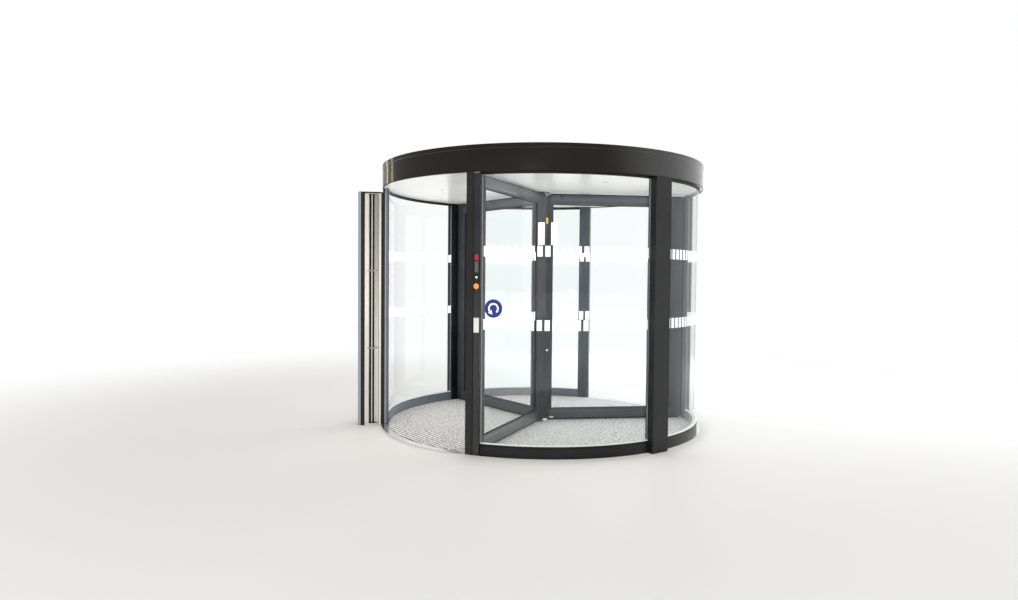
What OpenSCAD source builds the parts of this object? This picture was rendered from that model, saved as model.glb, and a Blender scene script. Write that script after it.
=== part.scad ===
// Revolving door with three glazed wings in a glass drum, seen from indoors at -Y.
// The drum axis is Z, the floor is z = 0 and the facade runs along X.

/* [Drum] */
// Outside diameter of the floor ring
drum_d = 3000; // [2600:10:3600]
// Clear height under the ceiling, from the floor
passage_h = 2200; // [2050:10:2600]
// Height of the canopy above the ceiling's underside
canopy_h = 200; // [150:5:500]
// Half of the arc that each curved wall covers, to its end posts' centres, in degrees
wall_half_arc = 60; // [54:1:64]

/* [Floor] */
// Width of the steel floor ring
ring_w = 64; // [50:1:100]
// Thickness of the floor ring and of the mat
floor_t = 10; // [8:1:20]
// Gap between the mat and the pieces that it lies between
mat_gap = 1; // [0.5:0.5:3]

/* [Curved walls] */
// Ring that shows outside the walls
ring_reveal = 23; // [10:1:40]
// Thickness of the wall rails, across the wall
rail_t = 38; // [28:1:50]
// Height of the kick rails above the floor ring
kick_h = 90; // [60:1:200]
// Height of the narrower top of the kick rails
kick_bead_h = 12; // [6:1:30]
// Width of the narrower top of the kick rails, and of the head channels
bead_t = 24; // [18:1:28]
// Height of the head channels
channel_h = 20; // [16:1:40]
// Thickness of the curved glass
wall_glass_t = 10; // [8:1:14]
// Depth to which the glass sits in its rails
glass_bite = 10; // [5:1:12]

/* [Posts] */
// Width of the end posts, along the wall
post_w = 120; // [80:1:160]
// Depth of the end posts, across the wall
post_d = 52; // [45:1:60]
// Width of the facade posts, along the wall
facade_post_w = 180; // [120:1:240]
// Depth of the facade posts, across the wall
facade_post_d = 80; // [70:1:160]
// Depth and width of the reveal groove in each post
reveal = 4; // [2:0.5:8]
// Distance of the reveal groove from the post's edge
reveal_at = 58; // [50:1:70]
// Radius of the fixing holes in the facade posts
fixing_r = 5.5; // [3:0.5:8]
// Depth of the fixing holes
fixing_depth = 30; // [15:1:35]
// Distance between the fixing holes across the post
fixing_pitch_y = 120; // [60:1:140]
// Distance between the fixing holes up the post
fixing_pitch_z = 1600; // [1000:10:1800]

/* [Canopy] */
// Thickness of the fascia sheet
fascia_t = 4; // [2:0.5:8]
// Gap between the fascia and what stands in it
fascia_gap = 1; // [0.5:0.5:3]
// Drop of the fascia below the ceiling
fascia_drop = 10; // [4:1:30]
// Height of the band along the top of the fascia
band_h = 35; // [15:1:60]
// Amount that the band stands proud of the fascia
band_proud = 3; // [1:0.5:8]
// Width of the fascia's inner flanges
flange_w = 40; // [20:1:80]
// Thickness of the ceiling panel
ceiling_t = 20; // [10:1:40]
// Thickness of the roof sheet
roof_t = 4; // [2:0.5:10]

/* [Rotor] */
// Distance between the wings' brushes and the posts
tip_gap = 8; // [6:1:15]
// Distance between the brushes and the floor or the ceiling
end_gap = 6; // [5.5:0.5:12]
// Width across the flats of the centre column
column_w = 80; // [60:1:120]
// Thickness of the wing frames
wing_t = 50; // [40:1:60]
// Thickness of the beads that hold the glass
bead_w = 34; // [24:1:38]
// Width of the beads
bead_h = 20; // [14:1:30]
// Width of the inner stiles without their beads
inner_stile_w = 55; // [40:1:90]
// Width of the outer stiles without their beads
outer_stile_w = 90; // [60:1:120]
// Height of the bottom rails without their beads
bottom_rail_h = 72; // [50:1:200]
// Height of the top rails without their beads
top_rail_h = 72; // [50:1:200]
// Thickness of the wing glass
wing_glass_t = 10; // [6:1:14]
// Thickness of the brushes
brush_t = 14; // [8:1:24]
// Gap between a tip brush and the other brushes
brush_gap = 1; // [0.5:0.5:4]
// Length of the tip brushes
tip_brush = 22; // [12:1:40]
// Height of the bottom brushes
bottom_brush = 16; // [10:1:30]
// Height of the top brushes
top_brush = 8; // [6:1:20]

/* [Bearings] */
// Radius of the drive shaft at the head
shaft_r = 30; // [20:1:36]
// Radius of the pivot pin at the floor
pivot_r = 15; // [10:1:25]
// Radial running clearance of the shaft and the pivot
running_gap = 0.05; // [0.02:0.01:0.1]
// Radius of the floor pivot's plate
pivot_plate_r = 78; // [60:1:120]
// Height of the floor pivot's plate above the mat
pivot_plate_rise = 4; // [2:1:5]
// Height of the pivot pin above its plate
pivot_pin_h = 45; // [20:1:60]
// Radius of the head bearing's flange
head_flange_r = 85; // [60:1:120]
// Thickness of the head bearing's flange
head_flange_t = 4; // [3:0.5:6]
// Wall of the head bearing's collar
collar_t = 7; // [4:1:12]
// Height of the drive shaft above the ceiling's underside
shaft_rise = 40; // [25:1:80]

/* [Controls] */
// Width of the switch plate and of the notice plate
plate_w = 44; // [30:1:56]
// Thickness of the plates
plate_t = 3; // [2:0.5:6]
// Height of the switch plate's centre
switch_z = 1425; // [1200:5:1600]
// Height of the switch plate
switch_h = 290; // [200:5:400]
// Height of the push button's centre
button_z = 1318; // [1250:1:1400]
// Radius of the push button
button_r = 20; // [12:0.5:21]
// Height of the push button above its plate
button_t = 9; // [4:0.5:20]
// Height of the notice plate's centre
notice_z = 1018; // [900:5:1100]
// Height of the notice plate
notice_h = 114; // [80:1:160]

/* [Air curtain] */
// Width of the air curtain, away from the drum
curtain_w = 211; // [185:1:300]
// Depth of the air curtain, along the wall
curtain_d = 120; // [110:1:200]
// Gap between the air curtain and the end post, which its brackets close
curtain_gap = 15; // [12:1:60]
// Drop of the air curtain's top below the ceiling
curtain_drop = 34; // [12:1:400]
// Thickness of the casing's inner side and of its caps
casing_t = 20; // [10:1:30]
// Width of the casing beyond the lips
outer_margin = 62; // [45:1:80]
// Size of the cut along the casing's outer front corner
corner_cut = 28; // [10:1:40]
// Depth of the recess that holds the lips
recess_d = 60; // [35:1:80]
// Gap between the casing's inner side and the lip beside it
lip_gap = 3; // [1:1:6]
// Width of the slot between the lips
slot_w = 46; // [20:1:60]
// Fall of the sloped lip towards the slot
lip_fall = 24; // [5:1:30]
// Chamfer of the flat lip at the slot
lip_nose = 6; // [2:1:12]
// Width of the vane in the slot
vane_t = 8; // [4:1:16]
// Thickness of the cover round the lips
cover_t = 3; // [1:0.5:6]
// Height of the cover's line over the lips
cover_line = 4; // [3:1:8]
// Gap between the cover and the lips' ends
cover_gap = 2; // [1:0.5:4]
// Width of each bracket, along the wall
bracket_w = 25; // [12:1:30]
// Distance between the brackets, centre to centre
bracket_pitch = 55; // [40:1:65]

/* [Hidden] */
$fn = 96;
eps = 1;

drum_r = drum_d/2;
ring_in = drum_r - ring_w;
wall_out = drum_r - ring_reveal;
wall_in = wall_out - rail_t;
wall_mid = (wall_out + wall_in)/2;
glass_low = floor_t + kick_h - glass_bite;
glass_high = passage_h - channel_h + glass_bite;
post_out = wall_in + post_d;
fascia_in = post_out + fascia_gap;
fascia_out = fascia_in + fascia_t;
top_z = passage_h + canopy_h;
ceiling_top = passage_h + ceiling_t;
roof_z = top_z - roof_t;
ceiling_r = fascia_in - fascia_gap;
facade_out = wall_in + facade_post_d;

wing_angles = [180, 300, 60];
tip_r = wall_in - tip_gap;
wing_low = floor_t + end_gap;
wing_high = passage_h - end_gap - head_flange_t;
column_flat = column_w/2;
inner_edge = column_flat + inner_stile_w;
outer_out = tip_r - tip_brush;
outer_edge = outer_out - outer_stile_w;
rail_low = wing_low + bottom_brush;
bottom_edge = rail_low + bottom_rail_h;
rail_high = wing_high - top_brush;
top_edge = rail_high - top_rail_h;
pane_x0 = inner_edge + bead_h - glass_bite;
pane_x1 = outer_edge - bead_h + glass_bite;
pane_z0 = bottom_edge + bead_h - glass_bite;
pane_z1 = top_edge - bead_h + glass_bite;
pivot_plate_z = floor_t + pivot_plate_rise;
column_low = pivot_plate_z + end_gap;
collar_r = shaft_r + running_gap + collar_t;
bevel = (wing_t - bead_w)/2;

plate_mid = post_w/2 - (reveal_at - reveal/2)/2;
curtain_h = passage_h - curtain_drop;
curtain_front = curtain_d/2;
curtain_in = post_out + curtain_gap;
curtain_out = curtain_in + curtain_w;
recess_in = curtain_in + casing_t;
recess_out = curtain_out - outer_margin;
recess_back = curtain_front - recess_d;
lip_w = (recess_out - recess_in - lip_gap - slot_w)/2;
slot_in = recess_in + lip_gap + lip_w;
slot_out = slot_in + slot_w;

// A ring of rectangular section between two radii and two heights
module ring(r0, r1, z0, z1) {
    rotate_extrude($fn = 180)
        translate([r0, z0])
            square([r1 - r0, z1 - z0]);
}

// A cylinder on the axis between two heights
module cylinder_between(r, z0, z1) {
    translate([0, 0, z0])
        cylinder(r = r, h = z1 - z0);
}

// A block whose length runs out from the axis, centred across it
module radial_block(r0, r1, w, z0, z1) {
    translate([r0, -w/2, z0])
        cube([r1 - r0, w, z1 - z0]);
}

// Floor

module floor_ring() {
    color("gainsboro")
        ring(ring_in, drum_r, 0, floor_t);
}

module floor_mat() {
    color("dimgray")
        ring(pivot_plate_r + mat_gap, ring_in - mat_gap, 0, floor_t);
}

module floor_pivot() {
    color("silver") {
        cylinder_between(pivot_plate_r, 0, pivot_plate_z);
        cylinder_between(pivot_r, pivot_plate_z - eps, pivot_plate_z + pivot_pin_h);
    }
}

// Curved walls

// What the posts take out of a curved wall at a side of the drum
module post_blocks(side) {
    for (end = [-1, 1])
        rotate(side + end*wall_half_arc)
            radial_block(wall_in/2, drum_r + eps, post_w, 0, top_z);
    rotate(side)
        radial_block(wall_in/2, drum_r + eps, facade_post_w, 0, top_z);
}

// One half of a curved wall with a given section, from its facade post to an end post
module wall_half(side, end) {
    difference() {
        rotate(end > 0 ? side : side - wall_half_arc)
            rotate_extrude(angle = wall_half_arc, $fn = 180)
                children();
        post_blocks(side);
    }
}

module glass_section() {
    translate([wall_mid - wall_glass_t/2, glass_low])
        square([wall_glass_t, glass_high - glass_low]);
}

module wall_glass(side, end) {
    color("lightcyan", 0.35)
        wall_half(side, end)
            glass_section();
}

// Kick rail: a box with a narrower top, grooved for the glass
module kick_section() {
    step = (rail_t - bead_t)/2;
    top = floor_t + kick_h;
    shoulder = top - kick_bead_h;
    difference() {
        polygon([[wall_in, floor_t], [wall_out, floor_t], [wall_out, shoulder - step],
            [wall_out - step, shoulder], [wall_out - step, top], [wall_in + step, top],
            [wall_in + step, shoulder], [wall_in, shoulder - step]]);
        glass_section();
    }
}

module kick_rails(side) {
    color("#33363a")
        for (end = [-1, 1])
            wall_half(side, end)
                kick_section();
}

module channel_section() {
    difference() {
        translate([wall_mid - bead_t/2, passage_h - channel_h])
            square([bead_t, channel_h]);
        glass_section();
    }
}

module head_channels(side) {
    color("#33363a")
        for (end = [-1, 1])
            wall_half(side, end)
                channel_section();
}

// Posts

// Room that the fascia takes at the top of the posts
module fascia_room() {
    ring(ceiling_r, facade_out + drum_r, passage_h - fascia_drop - fascia_gap, top_z);
}

// Straight post with a reveal groove down its inner and outer faces, on the glass side
module end_post(angle, glass_side) {
    color("#373634")
        rotate(angle)
            difference() {
                radial_block(wall_in, post_out, post_w, floor_t, passage_h);
                for (r = [wall_in, post_out])
                    translate([r, glass_side*(post_w/2 - reveal_at), passage_h/2])
                        cube([2*reveal, reveal, 2*passage_h], center = true);
                fascia_room();
            }
}

// Deeper post at the facade, notched over the floor ring, with blind fixing holes
module facade_post(side) {
    color("#2b2c2e")
        rotate(side)
            difference() {
                radial_block(wall_in, facade_out, facade_post_w, 0, passage_h);
                ring(wall_in/2, drum_r + fascia_gap, -eps, floor_t);
                fascia_room();
                for (y = [-1, 1])
                    for (z = [-1, 1])
                        translate([facade_out - fixing_depth, y*fixing_pitch_y/2,
                            passage_h/2 + z*fixing_pitch_z/2])
                            rotate([0, 90, 0])
                                cylinder(r = fixing_r, h = fixing_depth + eps);
            }
}

// Canopy

// Skirt, flange on the ceiling, flange under the roof and band along the top
module fascia_section() {
    bottom = passage_h - fascia_drop;
    flange_in = fascia_in - flange_w;
    band_out = fascia_out + band_proud;
    polygon([[fascia_in, bottom], [fascia_out, bottom], [fascia_out, top_z - band_h],
        [band_out, top_z - band_h + band_proud], [band_out, top_z], [fascia_in, top_z],
        [fascia_in, roof_z], [flange_in, roof_z], [flange_in, roof_z - fascia_t],
        [fascia_in, roof_z - fascia_t], [fascia_in, ceiling_top + fascia_t],
        [flange_in, ceiling_top + fascia_t], [flange_in, ceiling_top],
        [fascia_in, ceiling_top]]);
}

module fascia(start) {
    color("#2b2927")
        rotate(start)
            rotate_extrude(angle = 180, $fn = 180)
                fascia_section();
}

module ceiling() {
    color("#f2f0ec")
        ring(collar_r + mat_gap, ceiling_r, passage_h, ceiling_top);
}

module roof() {
    color("#3a3a3a")
        translate([0, 0, roof_z])
            cylinder(r = ceiling_r, h = roof_t, $fn = 180);
}

// Flange under the ceiling and collar through it, bored for the drive shaft
module head_bearing() {
    color("#2a2b2d")
        difference() {
            union() {
                translate([0, 0, passage_h - head_flange_t])
                    cylinder(r = head_flange_r, h = head_flange_t);
                cylinder_between(collar_r, passage_h - eps, ceiling_top);
            }
            cylinder_between(shaft_r + running_gap, passage_h - head_flange_t - eps,
                ceiling_top + eps);
        }
}

// Controls on the indoor post of the near wall

module plate(z, h) {
    rotate(-wall_half_arc)
        translate([post_out, plate_mid - plate_w/2, z - h/2])
            cube([plate_t, plate_w, h]);
}

module switch_plate() {
    color("#26282b")
        plate(switch_z, switch_h);
}

module push_button() {
    color("#e8862f")
        rotate(-wall_half_arc)
            translate([post_out + plate_t, plate_mid, button_z])
                rotate([0, 90, 0])
                    cylinder(r = button_r, h = button_t);
}

module notice_plate() {
    color("#e6e6e2")
        plate(notice_z, notice_h);
}

// Air curtain beside the indoor post of the far wall, blowing across the way in

module beside_far_post() {
    rotate(180 + wall_half_arc)
        children();
}

// Casing with a cut outer corner, open at the front for the lips
module air_curtain_casing() {
    color("#2f3033")
        beside_far_post()
            difference() {
                linear_extrude(curtain_h)
                    polygon([[curtain_in, -curtain_front], [curtain_out, -curtain_front],
                        [curtain_out, curtain_front - corner_cut],
                        [curtain_out - corner_cut, curtain_front], [curtain_in, curtain_front]]);
                translate([recess_in, recess_back, casing_t])
                    cube([recess_out - recess_in, recess_d + eps, curtain_h - 2*casing_t]);
            }
}

// Sloped lip by the post and flat lip beyond the slot
module lip_sections() {
    polygon([[slot_in - lip_w, recess_back], [slot_in, recess_back],
        [slot_in, curtain_front - lip_fall], [slot_in - lip_w, curtain_front]]);
    polygon([[slot_out, recess_back], [recess_out, recess_back], [recess_out, curtain_front],
        [slot_out + lip_nose, curtain_front], [slot_out, curtain_front - lip_nose]]);
}

// Cover on the casing's front: up its inner side, under the lips and in a line over them
module lip_cover() {
    difference() {
        translate([curtain_in, curtain_front, 0])
            cube([recess_out - curtain_in, cover_t, curtain_h - casing_t + cover_gap + cover_line]);
        translate([recess_in, curtain_front - eps, casing_t - cover_gap])
            cube([curtain_w, cover_t + 2*eps, curtain_h - 2*casing_t + 2*cover_gap]);
    }
}

module air_curtain_lips() {
    color("#d8d6d0")
        beside_far_post() {
            translate([0, 0, casing_t])
                linear_extrude(curtain_h - 2*casing_t)
                    lip_sections();
            lip_cover();
        }
}

module air_curtain_vane() {
    color("#8c8c8a")
        beside_far_post()
            translate([(slot_in + slot_out - vane_t)/2, recess_back, casing_t])
                cube([vane_t, recess_d/2, curtain_h - 2*casing_t]);
}

// Strips that carry the air curtain on the end post, front and back, and close its gap
module air_curtain_brackets() {
    color("#55575a")
        beside_far_post()
            for (side = [-1, 1])
                translate([post_out, side*bracket_pitch/2 - bracket_w/2, floor_t])
                    cube([curtain_gap, bracket_w, curtain_h - floor_t]);
}

// Rotor

module centre_column() {
    color("#3c3f45") {
        difference() {
            translate([0, 0, column_low])
                rotate(30)
                    cylinder(r = column_flat/cos(30), h = wing_high - column_low, $fn = 6);
            cylinder_between(pivot_r + running_gap, column_low - eps, column_low + pivot_pin_h);
        }
        cylinder_between(shaft_r, wing_high - eps, passage_h + shaft_rise);
    }
}

module wing(i) {
    rotate(wing_angles[i - 1])
        children();
}

module wing_pane() {
    translate([pane_x0, -wing_glass_t/2, pane_z0])
        cube([pane_x1 - pane_x0, wing_glass_t, pane_z1 - pane_z0]);
}

// Section of a frame piece: thickness along X, width w along Y with bevelled edges and a bead
module frame_section(w, bead) {
    polygon([[-wing_t/2, 0], [wing_t/2, 0], [wing_t/2, w - bevel], [bead_w/2, w],
        [bead_w/2, w + bead], [-bead_w/2, w + bead], [-bead_w/2, w], [-wing_t/2, w - bevel]]);
}

// Stile that runs full height, bevelled between the rails and beaded between their beads
module stile(w) {
    translate([0, -wing_t/2, rail_low])
        cube([w, wing_t, bottom_edge - rail_low]);
    translate([0, 0, bottom_edge])
        linear_extrude(top_edge - bottom_edge)
            rotate(-90)
                frame_section(w, 0);
    translate([0, 0, bottom_edge + bead_h])
        linear_extrude(top_edge - bottom_edge - 2*bead_h)
            rotate(-90)
                frame_section(w, bead_h);
    translate([0, -wing_t/2, top_edge])
        cube([w, wing_t, rail_high - top_edge]);
}

module wing_stiles(i) {
    color("#3c3f45")
        wing(i)
            difference() {
                union() {
                    translate([column_flat, 0, 0])
                        stile(inner_stile_w);
                    translate([outer_out, 0, 0])
                        mirror([1, 0, 0])
                            stile(outer_stile_w);
                }
                wing_pane();
            }
}

// Rail between the stiles, standing on z = 0
module rail(w) {
    translate([inner_edge, 0, 0])
        rotate([90, 0, 90])
            linear_extrude(outer_edge - inner_edge)
                frame_section(w, bead_h);
}

module wing_rails(i) {
    color("#3c3f45")
        wing(i)
            difference() {
                union() {
                    translate([0, 0, rail_low])
                        rail(bottom_rail_h);
                    translate([0, 0, rail_high])
                        mirror([0, 0, 1])
                            rail(top_rail_h);
                }
                wing_pane();
            }
}

module wing_glass(i) {
    color("lightcyan", 0.35)
        wing(i)
            wing_pane();
}

// Brushes along the tip, under the bottom rail and on the top rail
module wing_brushes(i) {
    under_x = pivot_plate_r + end_gap;
    over_x = inner_edge;
    color("#1c1c1e")
        wing(i) {
            translate([outer_out, -brush_t/2, rail_low])
                cube([tip_brush, brush_t, rail_high - rail_low]);
            translate([under_x, -brush_t/2, wing_low])
                cube([outer_out - brush_gap - under_x, brush_t, bottom_brush]);
            translate([over_x, -brush_t/2, rail_high])
                cube([outer_out - brush_gap - over_x, brush_t, top_brush]);
        }
}

floor_ring();
floor_mat();
floor_pivot();
wall_glass(0, -1);  // glass_near_indoor
wall_glass(0, 1);  // glass_near_outdoor
wall_glass(180, 1);  // glass_far_indoor
wall_glass(180, -1);  // glass_far_outdoor
kick_rails(0);  // kick_rails_near
kick_rails(180);  // kick_rails_far
head_channels(0);  // head_channels_near
head_channels(180);  // head_channels_far
end_post(-wall_half_arc, 1);  // post_near_indoor
end_post(wall_half_arc, -1);  // post_near_outdoor
end_post(180 + wall_half_arc, -1);  // post_far_indoor
end_post(180 - wall_half_arc, 1);  // post_far_outdoor
facade_post(0);  // facade_post_near
facade_post(180);  // facade_post_far
fascia(180);  // fascia_indoor
fascia(0);  // fascia_outdoor
ceiling();
roof();
head_bearing();
switch_plate();
push_button();
notice_plate();
air_curtain_casing();
air_curtain_lips();
air_curtain_vane();
air_curtain_brackets();
centre_column();
wing_stiles(1);  // wing_1_stiles
wing_rails(1);  // wing_1_rails
wing_glass(1);  // wing_1_glass
wing_brushes(1);  // wing_1_brushes
wing_stiles(2);  // wing_2_stiles
wing_rails(2);  // wing_2_rails
wing_glass(2);  // wing_2_glass
wing_brushes(2);  // wing_2_brushes
wing_stiles(3);  // wing_3_stiles
wing_rails(3);  // wing_3_rails
wing_glass(3);  // wing_3_glass
wing_brushes(3);  // wing_3_brushes
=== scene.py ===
"""Looks of a revolving door: three glazed wings in a glass drum under a shallow dark canopy.

The drum axis is Z, the floor is z = 0, the facade runs along X and indoors is at -Y. Metres throughout.
"""

from math import asin, ceil, cos, pi, radians, sin

import bmesh
import bpy
from mathutils import Matrix, Quaternion, Vector


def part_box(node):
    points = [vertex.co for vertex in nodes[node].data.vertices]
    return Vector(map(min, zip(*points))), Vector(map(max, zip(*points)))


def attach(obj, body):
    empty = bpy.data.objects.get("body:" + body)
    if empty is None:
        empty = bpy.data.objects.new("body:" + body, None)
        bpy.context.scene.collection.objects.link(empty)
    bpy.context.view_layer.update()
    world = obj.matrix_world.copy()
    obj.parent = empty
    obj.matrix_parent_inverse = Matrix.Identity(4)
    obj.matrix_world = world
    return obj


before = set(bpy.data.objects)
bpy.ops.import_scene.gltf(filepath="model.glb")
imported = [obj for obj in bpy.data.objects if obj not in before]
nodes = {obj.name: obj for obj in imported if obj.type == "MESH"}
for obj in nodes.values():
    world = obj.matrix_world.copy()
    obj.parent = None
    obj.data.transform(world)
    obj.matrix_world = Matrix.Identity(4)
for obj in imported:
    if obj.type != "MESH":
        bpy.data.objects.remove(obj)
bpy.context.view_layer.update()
scene = bpy.context.scene

MM = 0.001
SAME_POINT = 0.01 * MM

# Sizes taken from the frame
mat_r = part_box("floor_mat")[1].x
mat_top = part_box("floor_mat")[1].z
pivot_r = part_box("floor_pivot")[1].x
kick_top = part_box("kick_rails_near")[1].z
channel_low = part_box("head_channels_near")[0].z
ceiling_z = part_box("ceiling")[0].z
skirt_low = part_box("fascia_outdoor")[0].z
brush_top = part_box("wing_1_brushes")[1].z
pane_low, pane_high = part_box("wing_1_glass")
rail_low, rail_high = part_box("wing_1_rails")

# Sizes of the drum's wall and its posts, which the boxes of turned pieces don't give
wall_mid = 1458 * MM
glass_half = 5 * MM
wall_in, wall_out = 1439 * MM, 1477 * MM
post_half = 60 * MM
post_out = 1491 * MM
facade_half = 90 * MM
skirt_r = 1496 * MM
wall_half_arc = radians(60)
strip_foot = 12 * MM

# The controls on the near indoor post, across it and out from it
near_post_angle = radians(-60)
plate_mid, plate_half = 32 * MM, 22 * MM
plate_front = post_out + 3 * MM
switch_low, switch_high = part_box("switch_plate")[0].z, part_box("switch_plate")[1].z
notice_low, notice_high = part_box("notice_plate")[0].z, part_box("notice_plate")[1].z
button_z = (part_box("push_button")[0].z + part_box("push_button")[1].z) / 2
button_r = (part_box("push_button")[1].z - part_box("push_button")[0].z) / 2
post_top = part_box("post_near_indoor")[1].z

# The air curtain, in a frame whose X runs out from the drum and whose Y faces the front
curtain_angle = radians(240)
curtain_out, curtain_front = 1717 * MM, 60 * MM
corner_cut = 28 * MM
slot_in, slot_out = 1569 * MM, 1615 * MM
curtain_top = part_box("air_curtain_casing")[1].z

# The wings, and their frames' widths
wing_angles = {1: radians(180), 2: radians(-60), 3: radians(60)}
glass_bite = 10 * MM
frame_half = 25 * MM


# Materials

def linear(colour):
    """A hex sRGB colour as linear red, green, blue and alpha."""
    parts = [int(colour[i:i + 2], 16) / 255 for i in (1, 3, 5)]
    return [p / 12.92 if p <= 0.04045 else ((p + 0.055) / 1.055) ** 2.4 for p in parts] + [1]


def new_material(name):
    """An empty material, its tree, and its Object coordinates."""
    material = bpy.data.materials.new(name)
    material.use_nodes = True
    tree = material.node_tree
    tree.nodes.clear()
    return material, tree, add(tree, "TexCoord", out="Object")


def add(tree, kind, inputs=None, out=0, **settings):
    """Adds a node and gives its output. Each of its inputs is a value or another node's output."""
    made = tree.nodes.new("ShaderNode" + kind)
    for name, value in settings.items():
        setattr(made, name, value)
    for name, value in (inputs or {}).items():
        if isinstance(value, bpy.types.NodeSocket):
            tree.links.new(value, made.inputs[name])
        else:
            made.inputs[name].default_value = value
    return made.outputs[out] if made.outputs else made


COLOUR_A, COLOUR_B, COLOUR_OUT = 6, 7, 2


def powder_coat(name, colour, dusty, roughness, coat=0.0, peel=0.03, specular=0.5):
    """Polyester powder, baked on aluminium: an even skin with a faint orange peel and a little dust.
    The real peel is 1.5 mm across and is drawn at 5 mm, so that it shows."""
    material, tree, place = new_material(name)
    cloud = add(tree, "TexNoise", {"Vector": place, "Scale": 2.3, "Detail": 4.0})
    bumps = add(tree, "TexNoise", {"Vector": place, "Scale": 1 / (5 * MM), "Detail": 1.0})
    dust = add(tree, "MapRange", {"Value": cloud, "From Min": 0.42, "From Max": 0.7})
    tone = add(tree, "Mix", {0: dust, COLOUR_A: linear(colour), COLOUR_B: linear(dusty)},
               out=COLOUR_OUT, data_type="RGBA")
    rough = add(tree, "MapRange", {"Value": cloud, "From Min": 0.3, "From Max": 0.7,
                                   "To Min": roughness - 0.04, "To Max": roughness + 0.05})
    skin = add(tree, "Bump", {"Height": bumps, "Strength": peel, "Distance": 1 * MM})
    paint = add(tree, "BsdfPrincipled", {"Base Color": tone, "Roughness": rough, "Normal": skin,
                                         "Coat Weight": coat, "Coat Roughness": 0.06,
                                         "Specular IOR Level": specular})
    add(tree, "OutputMaterial", {"Surface": paint})
    return material


def brushed_steel(name, colour, grain, roughness, relief=0.12, ring=False):
    """Stainless steel, brushed by a belt: bright metal with fine lines that stretch its gloss.
    grain is the spacing of the lines along X, Y and Z, and on a ring they run round the drum."""
    material, tree, place = new_material(name)
    if ring:
        flat = add(tree, "VectorMath", {0: place, 1: (1, 1, 0)}, operation="MULTIPLY")
        radius = add(tree, "VectorMath", {0: flat}, out="Value", operation="LENGTH")
        place = add(tree, "CombineXYZ", {"X": radius})
    scale = tuple(1 / g for g in grain)
    lines = add(tree, "VectorMath", {0: place, 1: scale}, operation="MULTIPLY")
    brush = add(tree, "TexNoise", {"Vector": lines, "Scale": 1.0, "Detail": 3.0})
    smear = add(tree, "TexNoise", {"Vector": place, "Scale": 6.0, "Detail": 3.0})
    both = add(tree, "Math", {0: brush, 1: smear}, operation="ADD")
    rough = add(tree, "MapRange", {"Value": both, "From Min": 0.7, "From Max": 1.3,
                                   "To Min": roughness - 0.03, "To Max": roughness + 0.04})
    tone = add(tree, "MapRange", {"Value": brush, "From Min": 0.3, "From Max": 0.7,
                                  "To Min": 0.94, "To Max": 1.0})
    tint = add(tree, "Mix", {0: tone, COLOUR_A: (0, 0, 0, 1), COLOUR_B: linear(colour)},
               out=COLOUR_OUT, data_type="RGBA")
    skin = add(tree, "Bump", {"Height": brush, "Strength": relief, "Distance": 0.2 * MM})
    metal = add(tree, "BsdfPrincipled", {"Base Color": tint, "Metallic": 1.0, "Roughness": rough,
                                         "Normal": skin})
    add(tree, "OutputMaterial", {"Surface": metal})
    return material


def float_glass():
    """Clear float glass, drawn out flat on molten tin: it mirrors more at a slant, and its iron leaves a
    faint cool tint. Its real index is 1.52, and it is drawn lower so that it mirrors less."""
    material, tree, place = new_material("float glass")
    behind = add(tree, "NewGeometry", out="Backfacing")
    front = add(tree, "Math", {0: 1.0, 1: behind}, operation="SUBTRACT")
    slant = add(tree, "Fresnel", {"IOR": 1.38})
    share = add(tree, "Math", {0: slant, 1: front}, operation="MULTIPLY")
    clear = add(tree, "BsdfTransparent", {"Color": linear("#feffff")})
    mirror = add(tree, "BsdfAnisotropic", {"Color": linear("#ffffff"), "Roughness": 0.0})
    glass = add(tree, "MixShader", {0: share, 1: clear, 2: mirror})
    add(tree, "OutputMaterial", {"Surface": glass})
    return material


def mat_pile(name, dark, mid, pale):
    """Polyamide entrance pile, tufted and needle-punched: a dull salt-and-pepper of coarse fibres.
    The fibres are 0.5 mm thick and are drawn in tufts of 11 mm, so that they show."""
    material, tree, place = new_material(name)
    tufts = add(tree, "TexNoise", {"Vector": place, "Scale": 1 / (11 * MM), "Detail": 2.0,
                                   "Roughness": 0.6})
    wear = add(tree, "TexNoise", {"Vector": place, "Scale": 2.0, "Detail": 3.0})
    grit = add(tree, "MapRange", {"Value": tufts, "From Min": 0.38, "From Max": 0.47})
    tips = add(tree, "MapRange", {"Value": tufts, "From Min": 0.55, "From Max": 0.72})
    base = add(tree, "Mix", {0: grit, COLOUR_A: linear(dark), COLOUR_B: linear(mid)},
               out=COLOUR_OUT, data_type="RGBA")
    tone = add(tree, "Mix", {0: tips, COLOUR_A: base, COLOUR_B: linear(pale)},
               out=COLOUR_OUT, data_type="RGBA")
    height = add(tree, "Math", {0: tufts, 1: wear}, operation="ADD")
    skin = add(tree, "Bump", {"Height": height, "Strength": 0.4, "Distance": 1.5 * MM})
    pile = add(tree, "BsdfPrincipled", {"Base Color": tone, "Roughness": 0.95, "Normal": skin,
                                        "Specular IOR Level": 0.15, "Sheen Weight": 0.15})
    add(tree, "OutputMaterial", {"Surface": pile})
    return material


def bristle():
    """Nylon bristle strip, crimped in a holder: near black, with fine streaks along the bristles."""
    material, tree, place = new_material("nylon bristle")
    streaks = add(tree, "TexNoise", {"Vector": place, "Scale": 1 / (2 * MM), "Detail": 3.0})
    tone = add(tree, "Mix", {0: streaks, COLOUR_A: linear("#0d0d0e"), COLOUR_B: linear("#333335")},
               out=COLOUR_OUT, data_type="RGBA")
    skin = add(tree, "Bump", {"Height": streaks, "Strength": 0.6, "Distance": 1 * MM})
    hair = add(tree, "BsdfPrincipled", {"Base Color": tone, "Roughness": 0.8, "Normal": skin,
                                        "Specular IOR Level": 0.2})
    add(tree, "OutputMaterial", {"Surface": hair})
    return material


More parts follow.
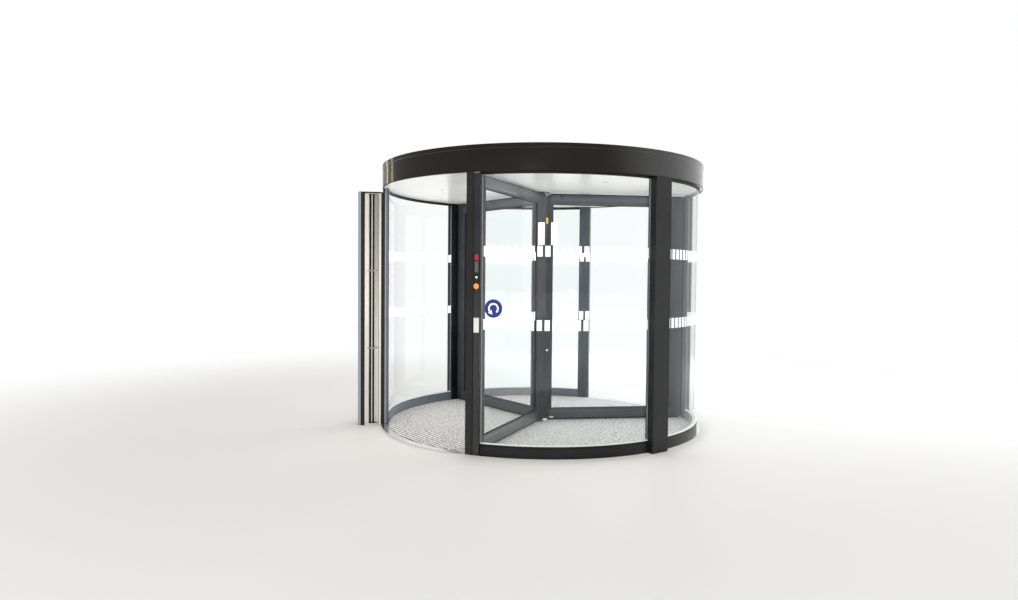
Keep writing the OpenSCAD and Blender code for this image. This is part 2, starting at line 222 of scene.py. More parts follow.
def plain_skin(name, colour, shade, roughness, glow=0.0, relief=0.1):
    """A moulded, cut or extruded skin of one colour, with the slight clouding that its making leaves."""
    material, tree, place = new_material(name)
    cloud = add(tree, "TexNoise", {"Vector": place, "Scale": 1 / (3 * MM), "Detail": 3.0})
    tone = add(tree, "Mix", {0: cloud, COLOUR_A: linear(shade), COLOUR_B: linear(colour)},
               out=COLOUR_OUT, data_type="RGBA")
    rough = add(tree, "MapRange", {"Value": cloud, "From Min": 0.3, "From Max": 0.7,
                                   "To Min": roughness - 0.04, "To Max": roughness + 0.04})
    skin = add(tree, "Bump", {"Height": cloud, "Strength": relief, "Distance": 0.3 * MM})
    # glow gives the skin light of its own colour: a lamp in the lit acrylic, a painted glow on the white
    # vinyl film
    stuff = add(tree, "BsdfPrincipled", {"Base Color": tone, "Roughness": rough, "Normal": skin,
                                         "Emission Color": linear(colour), "Emission Strength": glow})
    add(tree, "OutputMaterial", {"Surface": stuff})
    return material


post_paint = powder_coat("satin powder coat, posts", "#232221", "#2d2c2a", 0.4, specular=0.4)
# The dark post paint, drawn lighter and bluer on the outdoor posts as painted daylight
outdoor_posts_painted_light = powder_coat("satin powder coat, outdoor posts, painted light", "#474d55", "#50565e", 0.4, specular=0.4)
wing_paint = powder_coat("satin powder coat, wings", "#363a40", "#41464c", 0.46, specular=0.3)
rail_paint = powder_coat("gloss powder coat, wing rails", "#3c4148", "#474c53", 0.3, coat=0.7)
dark_paint = powder_coat("satin powder coat, rails", "#17181a", "#202123", 0.34, specular=0.35)
cover_paint = powder_coat("gloss powder coat, cover", "#2c3034", "#353a3f", 0.2, specular=0.45)
fascia_paint = powder_coat("gloss powder coat, fascia", "#171513", "#1e1b19", 0.14, coat=0.4, peel=0.02)
ceiling_paint = powder_coat("gloss powder coat, ceiling", "#fdfcfa", "#f8f7f4", 0.22, specular=0.3,
                            peel=0.01)
roof_paint = powder_coat("matt powder coat, roof", "#3b3b3b", "#4d4c4a", 0.7)
ring_steel = brushed_steel("brushed stainless steel, ring", "#fbfbf9", (5 * MM, 1, 1), 0.26, relief=0.05,
                          ring=True)
lip_steel = brushed_steel("polished stainless steel, lips", "#f4f0e6", (1.5 * MM, 1.5 * MM, 0.4), 0.3)
cap_steel = brushed_steel("turned stainless steel", "#e6e6e4", (2 * MM, 2 * MM, 2 * MM), 0.22)
glass = float_glass()
# One grey pile drawn twice: near black in the grooves as painted shade, near white on the ribs as painted
# daylight
groove_pile_painted_shade = mat_pile("polyamide pile, grooves, painted shade", "#121111", "#2a2928", "#454341")
rib_pile_painted_light = mat_pile("polyamide pile, ribs, painted light", "#2c2a29", "#f0efed", "#ffffff")
bristles = bristle()
black_abs = plain_skin("moulded ABS, black", "#1d1e20", "#151617", 0.45)
smoked_acrylic = plain_skin("smoked acrylic", "#66716b", "#59635e", 0.3)
teal_acrylic = plain_skin("dyed acrylic, teal", "#3d8474", "#357566", 0.3)
orange_acrylic = plain_skin("lit acrylic, orange", "#f08a3a", "#d8702a", 0.25, glow=0.9)
red_acrylic = plain_skin("lit acrylic, red", "#c4203c", "#a81a32", 0.3, glow=0.25)
white_laminate = plain_skin("engraving laminate, white", "#f8f8f6", "#f0f0ed", 0.4)
# The white film glows by itself: painted light that stands in for daylight shining through from behind
white_vinyl_painted_glow = plain_skin("cut vinyl film, white, painted glow", "#f6f6f5", "#eeeeec", 0.45, glow=0.5)
yellow_vinyl = plain_skin("cut vinyl film, yellow", "#ecd94c", "#dfc93c", 0.4)
blue_vinyl = plain_skin("cut vinyl film, blue", "#26409a", "#1f378a", 0.4)
black_rubber = plain_skin("extruded EPDM rubber", "#18181a", "#101011", 0.6, relief=0.2)
# Polished aluminium drawn near white and not metallic: a painted highlight, on the kick rails' tops and on
# the wing fittings
white_alloy_painted_highlight = plain_skin("polished aluminium, trims, painted highlight", "#f0f2f4", "#e6e9ec", 0.3)
trim_alloy = plain_skin("anodised aluminium, trims", "#aab3bd", "#9aa4af", 0.34)
grey_rubber = plain_skin("extruded TPE, grey", "#7c8288", "#6c7278", 0.45)
# A lighter grey on the rails' inner sides, painted where daylight falls on them
liner_painted_light = powder_coat("gloss powder coat, kick liners, painted light", "#626a75", "#6d757f", 0.3, coat=0.5)
white_silicone = plain_skin("tooled silicone, white", "#f6f7f7", "#eceeee", 0.4)
grey_silicone = plain_skin("tooled silicone, pale grey", "#cfd1d0", "#bfc2c2", 0.5)

painted = {
    "floor_ring": ring_steel, "floor_mat": groove_pile_painted_shade, "floor_pivot": cap_steel,
    "kick_rails_near": dark_paint, "kick_rails_far": dark_paint,
    "head_channels_near": dark_paint, "head_channels_far": dark_paint,
    "facade_post_near": dark_paint, "facade_post_far": dark_paint,
    "post_near_outdoor": outdoor_posts_painted_light, "post_far_outdoor": outdoor_posts_painted_light,
    "fascia_indoor": fascia_paint, "fascia_outdoor": fascia_paint,
    "ceiling": ceiling_paint, "roof": roof_paint, "head_bearing": dark_paint,
    "switch_plate": black_abs, "push_button": orange_acrylic, "notice_plate": white_laminate,
    "air_curtain_casing": dark_paint, "air_curtain_lips": lip_steel, "air_curtain_vane": lip_steel,
    "air_curtain_brackets": dark_paint, "centre_column": wing_paint}
by_part = {"glass": glass, "post": post_paint, "stiles": wing_paint, "rails": rail_paint,
           "brushes": bristles}
for name, node in nodes.items():
    finish = painted.get(name) or next(m for part, m in by_part.items() if part in name)
    node.data.materials.clear()
    node.data.materials.append(finish)


# Shapes

def block(shape, low, high, bevel=0.0):
    """Adds a box between two corners, its edges bevelled."""
    low, high = Vector(low), Vector(high)
    corners = bmesh.ops.create_cube(shape, size=1)["verts"]
    bmesh.ops.scale(shape, vec=high - low, verts=corners)
    bmesh.ops.translate(shape, vec=(low + high) / 2, verts=corners)
    if bevel:
        edges = list({e for v in corners for e in v.link_edges})
        bmesh.ops.bevel(shape, geom=edges, offset=bevel, segments=2, profile=0.5, material=-1,
                        affect="EDGES")


def swept(shape, profile, start, end, pitch=radians(2)):
    """Sweeps a closed outline of (radius, height) points round the drum axis between two angles."""
    corners = [shape.verts.new((r * cos(start), r * sin(start), z)) for r, z in profile]
    face = shape.faces.new(corners)
    bmesh.ops.spin(shape, geom=[face], cent=(0, 0, 0), axis=(0, 0, 1), angle=end - start,
                   steps=max(1, ceil((end - start) / pitch)))


def hoop(shape, profile):
    """Sweeps a closed outline of (radius, height) points all the way round the drum axis."""
    corners = [shape.verts.new((r, 0, z)) for r, z in profile]
    edges = [shape.edges.new((a, b)) for a, b in zip(corners, corners[1:] + corners[:1])]
    bmesh.ops.spin(shape, geom=edges, cent=(0, 0, 0), axis=(0, 0, 1), angle=2 * pi, steps=180,
                   use_merge=True)


def lathe(shape, profile, place, steps, closed=False):
    """Turns an outline of (radius, height) points on a lathe and puts it at a place.
    An outline that isn't closed starts and ends on the axis."""
    part = bmesh.new()
    corners = [part.verts.new((r, 0, z)) for r, z in profile]
    pairs = list(zip(corners, corners[1:] + corners[:1]))
    edges = [part.edges.new(pair) for pair in (pairs if closed else pairs[:-1])]
    bmesh.ops.spin(part, geom=edges, cent=(0, 0, 0), axis=(0, 0, 1), angle=2 * pi, steps=steps,
                   use_merge=True)
    bmesh.ops.transform(part, matrix=place, verts=part.verts)
    merge(shape, part)


def merge(shape, part):
    """Moves a finished part into a shape, its doubled points joined."""
    bmesh.ops.remove_doubles(part, verts=part.verts, dist=SAME_POINT)
    mesh = bpy.data.meshes.new("part")
    part.to_mesh(mesh)
    part.free()
    shape.from_mesh(mesh)
    bpy.data.meshes.remove(mesh)


def piece(name, shape, material, body):
    """Makes a finished shape a named piece that rides on a body."""
    bmesh.ops.remove_doubles(shape, verts=shape.verts, dist=SAME_POINT)
    bmesh.ops.recalc_face_normals(shape, faces=shape.faces)
    for face in shape.faces:
        face.smooth = False
    mesh = bpy.data.meshes.new(name)
    shape.to_mesh(mesh)
    shape.free()
    made = bpy.data.objects.new(name, mesh)
    scene.collection.objects.link(made)
    mesh.materials.append(material)
    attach(made, body)


def turn(shape, angle):
    """Turns a shape round the drum axis."""
    bmesh.ops.rotate(shape, verts=shape.verts, cent=(0, 0, 0), matrix=Matrix.Rotation(angle, 3, "Z"))


def half_walls(radius):
    """The start and end angles of the four curved panes at a radius, from a facade post to an end post."""
    near, far = asin(facade_half / radius), wall_half_arc - asin(post_half / radius)
    for side in (0, pi):
        yield side + near, side + far
        yield side - far, side - near


# Floor

RIB_PITCH, RIB_WIDTH, RIB_HEIGHT = 38 * MM, 25 * MM, 2.5 * MM


def mat_ribs():
    """Pile ribs along the facade, cut round to the ring and the pivot plate, their pile near white as
    painted daylight.
    """
    ribs = bmesh.new()
    inner = pivot_r + 2 * MM
    count = int((mat_r - 5 * MM) / RIB_PITCH)
    for i in range(-count, count + 1):
        low, high = i * RIB_PITCH - RIB_WIDTH / 2, i * RIB_PITCH + RIB_WIDTH / 2
        strip = bmesh.new()
        outside = bmesh.ops.create_circle(strip, segments=120, radius=mat_r - 2 * MM)["verts"]
        rims = list({e for v in outside for e in v.link_edges})
        if abs(i * RIB_PITCH) < inner + RIB_WIDTH:
            inside = bmesh.ops.create_circle(strip, segments=120, radius=inner)["verts"]
            rims += list({e for v in inside for e in v.link_edges})
            bmesh.ops.bridge_loops(strip, edges=rims)
        else:
            bmesh.ops.contextual_create(strip, geom=rims)
        for y, side in ((low, -1), (high, 1)):
            everything = strip.verts[:] + strip.edges[:] + strip.faces[:]
            bmesh.ops.bisect_plane(strip, geom=everything, dist=SAME_POINT, plane_co=(0, y, 0),
                                   plane_no=(0, side, 0), clear_outer=True)
        if not strip.faces:
            strip.free()
            continue
        bmesh.ops.dissolve_limit(strip, angle_limit=radians(0.5), verts=strip.verts, edges=strip.edges)
        bmesh.ops.translate(strip, vec=(0, 0, mat_top), verts=strip.verts)
        top = bmesh.ops.extrude_face_region(strip, geom=strip.faces[:])["geom"]
        raised = [v for v in top if isinstance(v, bmesh.types.BMVert)]
        bmesh.ops.translate(strip, vec=(0, 0, RIB_HEIGHT), verts=raised)
        merge(ribs, strip)
    piece("mat_ribs", ribs, rib_pile_painted_light, "drum")


# Curved walls

def wall_beads():
    """Silicone fillets where the curved glass leaves its kick rails and its head channels."""
    foot, head = bmesh.new(), bmesh.new()
    for face in (-1, 1):
        skin = wall_mid + face * glass_half
        out = skin + face * 5 * MM
        lip = skin + face * 1.5 * MM
        rising = [(skin, kick_top), (out, kick_top), (lip, kick_top + 7 * MM), (skin, kick_top + 8 * MM)]
        hanging = [(skin, channel_low), (out, channel_low), (lip, channel_low - 5 * MM),
                   (skin, channel_low - 6 * MM)]
        for start, end in half_walls(wall_mid):
            swept(foot, rising, start, end)
            swept(head, hanging, start, end)
    piece("wall_foot_beads", foot, white_silicone, "drum")
    piece("wall_head_beads", head, black_rubber, "drum")


def kick_liners_painted_light():
    """Grey liners on the inner sides of the kick rails, drawn lighter as painted daylight, with near-white
    trims along the rails' tops as a painted highlight.
    """
    liners, trims = bmesh.new(), bmesh.new()
    face, head = wall_in - 0.8 * MM, kick_top - 4 * MM
    lining = [(face, strip_foot), (wall_in, strip_foot), (wall_in, head), (face, head)]
    for start, end in half_walls(wall_in):
        swept(liners, lining, start, end)
    edge, width, top = 1 * MM, 10 * MM, kick_top + 1 * MM
    for inner in (wall_in + edge, wall_out - edge - width):
        outer = inner + width
        for start, end in half_walls(wall_mid):
            swept(trims, [(inner, kick_top), (outer, kick_top), (outer, top), (inner, top)], start, end)
    piece("kick_liners_painted_light", liners, liner_painted_light, "drum")
    piece("kick_trims_painted_highlight", trims, white_alloy_painted_highlight, "drum")


def post_gaskets():
    """Hairline gaskets that seal the curved glass against the posts, inside and out."""
    strips = bmesh.new()
    width = 3 * MM / wall_mid
    for face in (-1, 1):
        skin = wall_mid + face * glass_half
        out = skin + face * 1 * MM
        profile = [(skin, kick_top), (out, kick_top), (out, channel_low), (skin, channel_low)]
        for start, end in half_walls(wall_mid):
            swept(strips, profile, start, start + width)
            swept(strips, profile, end - width, end)
    piece("post_gaskets", strips, grey_silicone, "drum")


# Posts, in a frame whose X runs out from the drum axis through the post

# Each end post's angle, and which of its sides faces the opening
END_POSTS = ((near_post_angle, -1), (radians(60), 1), (radians(240), 1), (radians(120), -1))
# Where each strip starts and ends along X, and how proud of the post it stands
SAFETY_EDGE = 1442 * MM, 1456 * MM, 4 * MM
EDGE_CARRIER = 1459 * MM, 1472 * MM, 1.5 * MM


def safety_edges():
    """A soft grey edge and its bright carrier up the opening side of each end post."""
    soft, carrier = bmesh.new(), bmesh.new()
    for shape, (x0, x1, proud) in ((soft, SAFETY_EDGE), (carrier, EDGE_CARRIER)):
        for angle, side in END_POSTS:
            y0, y1 = sorted((side * post_half, side * (post_half + proud)))
            strip = bmesh.new()
            block(strip, (x0, y0, strip_foot), (x1, y1, post_top - 2 * MM), bevel=0.6 * MM)
            turn(strip, angle)
            merge(shape, strip)
    piece("safety_edges", soft, grey_rubber, "drum")
    piece("safety_edge_carriers", carrier, trim_alloy, "drum")


def post_cover():
    """A glossy cover strip over the cables on the near indoor post, above, between and under its plates."""
    strip = bmesh.new()
    y0, y1 = plate_mid - plate_half, plate_mid + plate_half
    front = post_out + 1 * MM
    for low, high in ((14 * MM, notice_low), (notice_high, switch_low), (switch_high, post_top - 3 * MM)):
        block(strip, (post_out, y0, low), (front, y1, high), bevel=0.3 * MM)
    turn(strip, near_post_angle)
    piece("post_cover", strip, cover_paint, "drum")
    bar = bmesh.new()
    block(bar, (front, y0 - 6 * MM, post_top - 16 * MM), (front + 1.5 * MM, y1, post_top - 8 * MM),
          bevel=0.4 * MM)
    turn(bar, near_post_angle)
    piece("post_head_bar", bar, cap_steel, "drum")


# Controls on the near indoor post

def out_of_post(x, y, z):
    """Stands a lathe's axis along X at a place on a post."""
    return Matrix.Translation((x, y, z)) @ Matrix.Rotation(pi / 2, 4, "Y")


def control(name, material, half, low, high, thick):
    """A bevelled block on the switch plate, from half its width, two heights and a thickness."""
    shape = bmesh.new()
    block(shape, (plate_front, plate_mid - half, low), (plate_front + thick, plate_mid + half, high),
          bevel=0.5 * MM)
    turn(shape, near_post_angle)
    piece(name, shape, material, "drum")


def button_bezel():
    """A chamfered steel ring round the push button."""
    ring = bmesh.new()
    inner, outer = button_r + 0.3 * MM, button_r + 1.8 * MM
    lathe(ring, [(inner, 0), (outer, 0), (outer, 3 * MM), (outer - 1 * MM, 4 * MM), (inner, 4 * MM)],
          out_of_post(plate_front, plate_mid, button_z), steps=48, closed=True)
    turn(ring, near_post_angle)
    piece("button_bezel", ring, cap_steel, "drum")


def control_arrow():
    """A white triangle that points down at the button."""
    shape = bmesh.new()
    radius, thick, height = 13 * MM, 1 * MM, 1386 * MM
    corners = bmesh.ops.create_cone(shape, segments=3, radius1=radius, radius2=radius, depth=thick,
                                    cap_ends=True)["verts"]
    bmesh.ops.rotate(shape, verts=corners, cent=(0, 0, 0), matrix=Matrix.Rotation(pi, 3, "Z"))
    facing_out = Matrix(((0, 0, 1, 0), (1, 0, 0, 0), (0, 1, 0, 0), (0, 0, 0, 1)))
    place = Matrix.Translation((plate_front + thick / 2, plate_mid, height))
    bmesh.ops.transform(shape, verts=corners, matrix=place @ facing_out)
    turn(shape, near_post_angle)
    piece("control_arrow", shape, white_vinyl_painted_glow, "drum")


SCREW_DOME = ((0, 1.6 * MM), (2 * MM, 1.3 * MM), (3.2 * MM, 0), (0, 0))


def screws():
    """Dome-headed screws at the ends of the switch plate and of the notice plate."""
    heads = bmesh.new()
    for low, high in ((switch_low, switch_high), (notice_low, notice_high)):
        for z in (low + 7 * MM, high - 7 * MM):
            lathe(heads, SCREW_DOME, out_of_post(plate_front, plate_mid, z), steps=12)
    turn(heads, near_post_angle)
    piece("plate_screws", heads, cap_steel, "drum")


# Air curtain, in its own frame

def curtain_trim():
    """An anodised strip on the casing's cut corner."""
    strip = bmesh.new()
    outer = curtain_out - 3.5 * MM
    inner = curtain_out - corner_cut + 2 * MM
    across = curtain_out + curtain_front - corner_cut
    proud, short = 0.5 * MM, 3 * MM
    corners = [(outer, across - outer), (outer + proud, across - outer + proud),
               (inner + proud, across - inner + proud), (inner, across - inner)]
    face = strip.faces.new([strip.verts.new((x, y, short)) for x, y in corners])
    top = bmesh.ops.extrude_face_region(strip, geom=[face])["geom"]
    bmesh.ops.translate(strip, vec=(0, 0, curtain_top - 2 * short),
                        verts=[v for v in top if isinstance(v, bmesh.types.BMVert)])
    turn(strip, curtain_angle)
    piece("air_curtain_trim", strip, trim_alloy, "drum")


CLAMP_HEIGHTS = 1440 * MM, 722 * MM


def curtain_clamps():
    """Bars across the slot that hold the lips apart."""
    bars = bmesh.new()
    half = 5 * MM
    for z in CLAMP_HEIGHTS:
        block(bars, (slot_in - 28 * MM, curtain_front - 12 * MM, z - half),
              (slot_out + 20 * MM, curtain_front + 2 * MM, z + half), bevel=1 * MM)
    turn(bars, curtain_angle)
    piece("air_curtain_clamps", bars, trim_alloy, "drum")


# Wings

def wing_gaskets(number):
    """Rubber gaskets round a wing's pane, on both sides, under the lips of its beads."""
    strips = bmesh.new()
    x0, x1 = -pane_high.x + glass_bite, -pane_low.x - glass_bite
    z0, z1 = pane_low.z + glass_bite, pane_high.z - glass_bite
    width, proud = 5 * MM, 3 * MM
    for face in (-1, 1):
        y0, y1 = sorted((face * glass_half, face * (glass_half + proud)))
        block(strips, (x0, y0, z0), (x0 + width, y1, z1))
        block(strips, (x1 - width, y0, z0), (x1, y1, z1))
        block(strips, (x0 + width, y0, z0), (x1 - width, y1, z0 + width))
        block(strips, (x0 + width, y0, z1 - width), (x1 - width, y1, z1))
    turn(strips, wing_angles[number])
    piece("wing_%d_gaskets" % number, strips, black_rubber, "rotor")


def wing_fittings(number):
    """A lock, a cap at the head and a bolt at the foot, on one face of a wing's frame."""
    fittings = bmesh.new()
    turned_out = Matrix.Rotation(pi / 2, 4, "X")
    lock_x, lock_z = 67 * MM, 690 * MM
    cap_x, cap_z = lock_x - 15 * MM, rail_high.z - 14 * MM
    bolt_in, bolt_out = 98 * MM, 136 * MM
    lathe(fittings, [(0, 3 * MM), (7 * MM, 2.6 * MM), (10 * MM, 0), (0, 0)],
          Matrix.Translation((lock_x, -frame_half, lock_z)) @ turned_out, steps=24)
    lathe(fittings, [(0, 2 * MM), (4 * MM, 1.6 * MM), (6 * MM, 0), (0, 0)],
          Matrix.Translation((cap_x, -frame_half, cap_z)) @ turned_out, steps=16)
    block(fittings, (bolt_in, -frame_half - 2 * MM, rail_low.z + 3 * MM),
          (bolt_out, -frame_half, rail_low.z + 16 * MM), bevel=0.8 * MM)
    turn(fittings, wing_angles[number])
    # The fittings are near white and not metallic: a painted highlight standing in for polished metal
    piece("wing_%d_fittings" % number, fittings, white_alloy_painted_highlight, "rotor")


def wing_brush_tips(number):
    """Loose bristle ends over a wing's top brush, short of the ceiling."""
    tips = bmesh.new()
    inner, outer, half = 60 * MM, 1405 * MM, 4 * MM
    block(tips, (inner, -half, brush_top), (outer, half, ceiling_z - 5.5 * MM))
    turn(tips, wing_angles[number])
    piece("wing_%d_brush_tips" % number, tips, bristles, "rotor")


# Films on the glass

MARK_W, MARK_H, MARK_PITCH = 40 * MM, 82 * MM, 60 * MM
MARK_ROWS = (983 * MM, 1547 * MM)
FILM, FILM_GAP = 0.3 * MM, 0.3 * MM
FIRST_MARK = radians(4.36)
MARKS_A_PANE = 23
LABEL_HALF, LABEL_LOW, LABEL_HIGH = 25 * MM, 1636 * MM, 1806 * MM
LABEL_ANGLES = radians(-39.5), radians(-35.6)
WALL_DISC = {"radius": 71 * MM, "angle": radians(-53.8), "height": 1148 * MM}
FAR_DISC = {"radius": 60 * MM, "angle": radians(126.2), "height": 1192 * MM}


def wall_film(shape, middle, half, low, high):
    """A rectangle of film on the curved glass's inner face. Its middle and half its width are angles."""
    skin = wall_mid - glass_half - FILM_GAP
    swept(shape, [(skin - FILM, low), (skin, low), (skin, high), (skin - FILM, high)],
          middle - half, middle + half, pitch=half)


def wall_marks():
    """Two rows of rectangles round the curved panes."""
    film = bmesh.new()
    for side in (0, pi):
        for way in (-1, 1):
            for i in range(MARKS_A_PANE):
                middle = side + way * (FIRST_MARK + i * MARK_PITCH / (wall_mid - glass_half))
                for z in MARK_ROWS:
                    wall_film(film, middle, MARK_W / 2 / wall_mid, z, z + MARK_H)
    piece("wall_marks", film, white_vinyl_painted_glow, "drum")


def wall_labels():
    """Two blank white labels side by side on the near indoor pane."""
    film = bmesh.new()
    for middle in LABEL_ANGLES:
        wall_film(film, middle, LABEL_HALF / wall_mid, LABEL_LOW, LABEL_HIGH)
    piece("wall_labels", film, white_vinyl_painted_glow, "drum")


def wrapped(shape, radius, angle, height):
    """Bends a flat shape round the drum: its X runs round, its Y up and its Z out."""
    for v in shape.verts:
        turned_by, out = angle + v.co.x / radius, radius + v.co.z
        v.co = (out * cos(turned_by), out * sin(turned_by), height + v.co.y)


def disc(name, low, high, material, radius, angle, height):
    """A disc of film on the outer face of the curved glass, between two heights over the glass."""
    film = bmesh.new()
    rings = [radius * i / 5 for i in range(6)]
    lathe(film, [(r, high) for r in rings] + [(r, low) for r in reversed(rings)], Matrix(), steps=48)
    wrapped(film, wall_mid + glass_half, angle, height)
    piece(name, film, material, "drum")


def disc_arrow(name, radius, angle, height):
    """A plain arrow that bends most of the way round a disc."""
    film = bmesh.new()
    low, high = 0.5 * MM, 0.7 * MM
    inner, outer, head = radius * 0.42, radius * 0.6, radius * 0.3
    tail, neck = radians(-50), radians(220)
    swept(film, [(inner, low), (outer, low), (outer, high), (inner, high)], tail, neck, pitch=radians(9))
    corners = bmesh.ops.create_cone(film, segments=3, radius1=head, radius2=head, depth=high - low,
                                    cap_ends=True)["verts"]
    out = Matrix.Translation(((inner + outer) / 2, radius * 0.12, (low + high) / 2))
    bmesh.ops.transform(film, verts=corners, matrix=Matrix.Rotation(neck, 4, "Z") @ out)
    wrapped(film, wall_mid + glass_half, angle, height)
    piece(name, film, white_vinyl_painted_glow, "drum")


def wing_marks(number):
    """Two rows of rectangles across a wing's pane."""
    film = bmesh.new()
    margin = glass_bite + 12 * MM
    x0, x1 = -pane_high.x + margin, -pane_low.x - margin
    count = int((x1 - x0) / MARK_PITCH)
    first = (x0 + x1) / 2 - (count - 1) / 2 * MARK_PITCH
    for i in range(count):
        x = first + i * MARK_PITCH
        for z in MARK_ROWS:
            block(film, (x - MARK_W / 2, glass_half, z), (x + MARK_W / 2, glass_half + FILM, z + MARK_H))
    turn(film, wing_angles[number])
    piece("wing_%d_marks" % number, film, white_vinyl_painted_glow, "rotor")


def stile_label():
    """A blank yellow label on the inner stile of wing 3."""
    film = bmesh.new()
    inner, outer, low, high = 48 * MM, 66 * MM, 1904 * MM, 1960 * MM
    block(film, (inner, -frame_half - FILM, low), (outer, -frame_half, high))
    turn(film, wing_angles[3])
    piece("wing_3_label", film, yellow_vinyl, "rotor")


# Canopy

def fascia_rim():
    """A black edge seal round the foot of the fascia."""
    rim = bmesh.new()
    out, foot = skirt_r + 0.8 * MM, skirt_low + 0.5 * MM
    hoop(rim, [(skirt_r, foot), (out, foot), (out, skirt_low + 7 * MM), (skirt_r, skirt_low + 8 * MM)])
    piece("fascia_rim", rim, black_rubber, "drum")


SENSOR_ANGLES = radians(-118), radians(-4.6), radians(62), radians(175.4)


def ceiling_sensors():
    """Slim dark lenses under the ceiling, over each way in and over the walls' middles."""
    lenses = bmesh.new()
    inner, outer, half = 944 * MM, 956 * MM, 26 * MM
    for angle in SENSOR_ANGLES:
        lens = bmesh.new()
        block(lens, (inner, -half, ceiling_z - 1.5 * MM), (outer, half, ceiling_z), bevel=0.6 * MM)
        turn(lens, angle)
        merge(lenses, lens)
    piece("ceiling_sensors", lenses, black_abs, "drum")


mat_ribs()
wall_beads()
kick_liners_painted_light()
post_gaskets()
safety_edges()
post_cover()
control("control_square", red_acrylic,
        half=17 * MM, low=1518 * MM, high=1558 * MM, thick=1 * MM)
control("control_window", smoked_acrylic,
        half=15 * MM, low=1424 * MM, high=1508 * MM, thick=1 * MM)
control("control_red_bar", red_acrylic,
        half=12 * MM, low=1468 * MM, high=1475 * MM, thick=1.4 * MM)
control("control_teal_bar", teal_acrylic,
        half=12 * MM, low=1434 * MM, high=1448 * MM, thick=1.4 * MM)
button_bezel()
control_arrow()
screws()
curtain_trim()
curtain_clamps()
wall_marks()
wall_labels()
disc("wall_disc", 0.2 * MM, 0.5 * MM, blue_vinyl, **WALL_DISC)
disc_arrow("wall_disc_arrow", **WALL_DISC)
disc("far_disc_back", 0.1 * MM, 0.2 * MM, white_vinyl_painted_glow, **FAR_DISC)
disc("far_disc", 0.3 * MM, 0.5 * MM, blue_vinyl, **FAR_DISC)
disc_arrow("far_disc_arrow", **FAR_DISC)
fascia_rim()
ceiling_sensors()
for number in wing_angles:
    wing_gaskets(number)
    wing_fittings(number)
    wing_brush_tips(number)
    wing_marks(number)
stile_label()


# Light, floor and camera

def light_room():
    """A pale room: white where it is seen, a little dimmer where it lights, and dark towards indoors
    where gloss mirrors it."""
    world = bpy.data.worlds.new("room")
    scene.world = world
    world.use_nodes = True
    tree = world.node_tree
    tree.nodes.clear()
    toward = add(tree, "TexCoord", out="Generated")
    depth = add(tree, "SeparateXYZ", {0: toward}, out="Y")
    mirrored = add(tree, "MapRange", {"Value": depth, "From Min": 0.0, "From Max": 0.7,
                                      "To Min": 0.25, "To Max": 1.0}, interpolation_type="SMOOTHSTEP")
    path = tree.nodes.new("ShaderNodeLightPath").outputs
    glossy = path["Is Glossy Ray"]
    seen = add(tree, "Math", {0: path["Is Camera Ray"], 1: path["Is Transmission Ray"]},
               operation="MAXIMUM")
    gloss = add(tree, "Math", {0: glossy, 1: mirrored}, operation="MULTIPLY")
    shown = add(tree, "Math", {0: seen, 1: gloss}, operation="MAXIMUM")
    direct = add(tree, "Math", {0: seen, 1: glossy}, operation="MAXIMUM")
    lighting = add(tree, "MapRange", {"Value": direct, "To Min": 0.85, "To Max": 0.0})
    strength = add(tree, "Math", {0: shown, 1: lighting}, operation="MAXIMUM")
    light = add(tree, "Background", {"Color": linear("#ffffff"), "Strength": strength})
    add(tree, "OutputWorld", {"Surface": light})


def lamp(name, place, target, width, height, watts, colour, mirrored=True):
    """A soft panel lamp that faces a target, and whether gloss mirrors it."""
    data = bpy.data.lights.new(name, "AREA")
    data.shape = "RECTANGLE"
    data.size, data.size_y, data.energy = width, height, watts
    data.color = linear(colour)[:3]
    made = bpy.data.objects.new(name, data)
    made.location = place
    made.rotation_mode = "QUATERNION"
    made.rotation_quaternion = (Vector(target) - Vector(place)).to_track_quat("-Z", "Y")
    made.visible_camera = made.visible_transmission = False
    made.visible_glossy = mirrored
    scene.collection.objects.link(made)


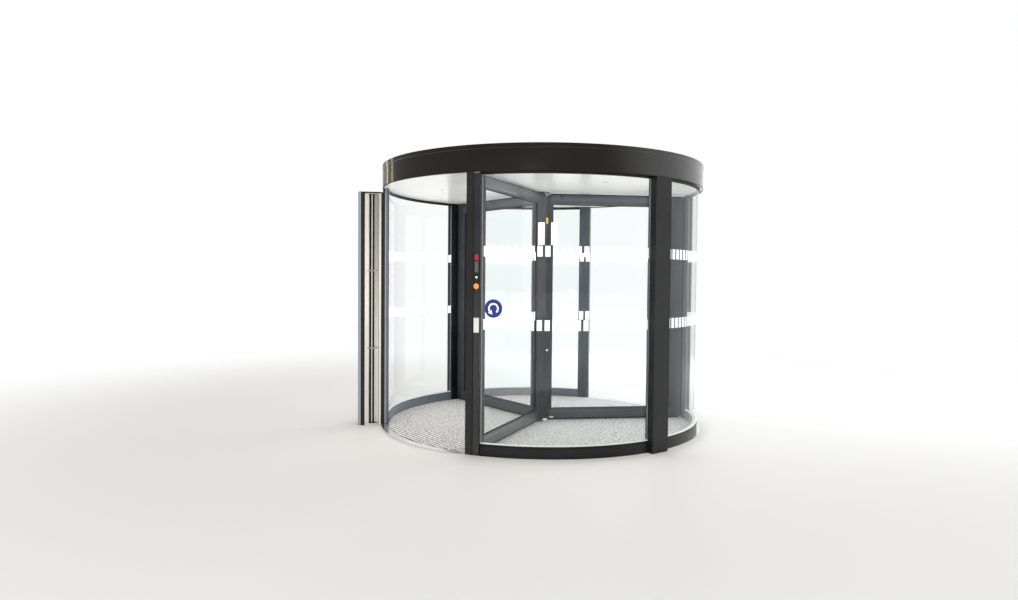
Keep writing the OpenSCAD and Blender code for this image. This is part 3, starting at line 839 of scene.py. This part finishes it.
def pale_floor():
    """A pale studio floor that keeps the door's shadow and fades to the white of the room far off."""
    material, tree, place = new_material("studio floor")
    away = add(tree, "VectorMath", {0: place}, out="Value", operation="LENGTH")
    fade = add(tree, "MapRange", {"Value": away, "From Min": 3.0, "From Max": 7.5},
               interpolation_type="SMOOTHSTEP")
    floor = add(tree, "BsdfPrincipled", {"Base Color": linear("#e6e5e2"), "Roughness": 0.6})
    white = add(tree, "Emission", {"Color": linear("#ffffff"), "Strength": 1.0})
    both = add(tree, "MixShader", {0: fade, 1: floor, 2: white})
    add(tree, "OutputMaterial", {"Surface": both})
    shape = bmesh.new()
    bmesh.ops.create_circle(shape, cap_ends=True, segments=96, radius=60)
    mesh = bpy.data.meshes.new("studio_floor")
    shape.to_mesh(mesh)
    shape.free()
    made = bpy.data.objects.new("studio_floor", mesh)
    made.location.z = -0.5 * MM
    mesh.materials.append(material)
    scene.collection.objects.link(made)


def stand_camera():
    """Eye height indoors, a wide lens tipped slightly down and rolled by half a degree."""
    heading, tilt, roll = radians(142.82), radians(1.861), radians(0.494)
    data = bpy.data.cameras.new("camera")
    data.lens, data.sensor_width = 25.144, 36
    made = bpy.data.objects.new("camera", data)
    made.location = (5.2721, -4.3746, 1.3915)
    ahead = Vector((cos(heading) * cos(tilt), sin(heading) * cos(tilt), -sin(tilt)))
    made.rotation_mode = "QUATERNION"
    made.rotation_quaternion = ahead.to_track_quat("-Z", "Y") @ Quaternion((0, 0, 1), roll)
    scene.collection.objects.link(made)
    scene.camera = made


DAYLIGHT, ROOM_LIGHT, STRIP_LIGHT = "#f6f9ff", "#fff6ea", "#ffe4ba"

light_room()
lamp("window_panel", (-1, 6.5, 1.9), (0, 0, 1), 9, 3.4, 480, DAYLIGHT, mirrored=False)
lamp("ceiling_panel", (1, -5, 6), (0, 0, 0.5), 5, 5, 60, ROOM_LIGHT, mirrored=False)
lamp("canopy_panel", (0, 0, 2.16), (0, 0, 0), 2, 2, 18, "#fffaf2", mirrored=False)
lamp("side_panel", (8.5, -8, 2), (0, 0, 1), 3, 3, 40, ROOM_LIGHT)
lamp("mat_panel", (0, 0, 0.3), (0, 0, 2.2), 2, 2, 20, "#fffdf8", mirrored=False)
lamp("warm_strip_near", (-7, -1.4, 3.2), (0, 0, 2.3), 0.12, 1.2, 3.2, STRIP_LIGHT)
lamp("warm_strip_far", (-6.8, -2.8, 3.2), (0, 0, 2.3), 0.12, 1.2, 2.4, STRIP_LIGHT)
pale_floor()
stand_camera()
scene.cycles.transparent_max_bounces = 32
scene.view_settings.view_transform = "Standard"
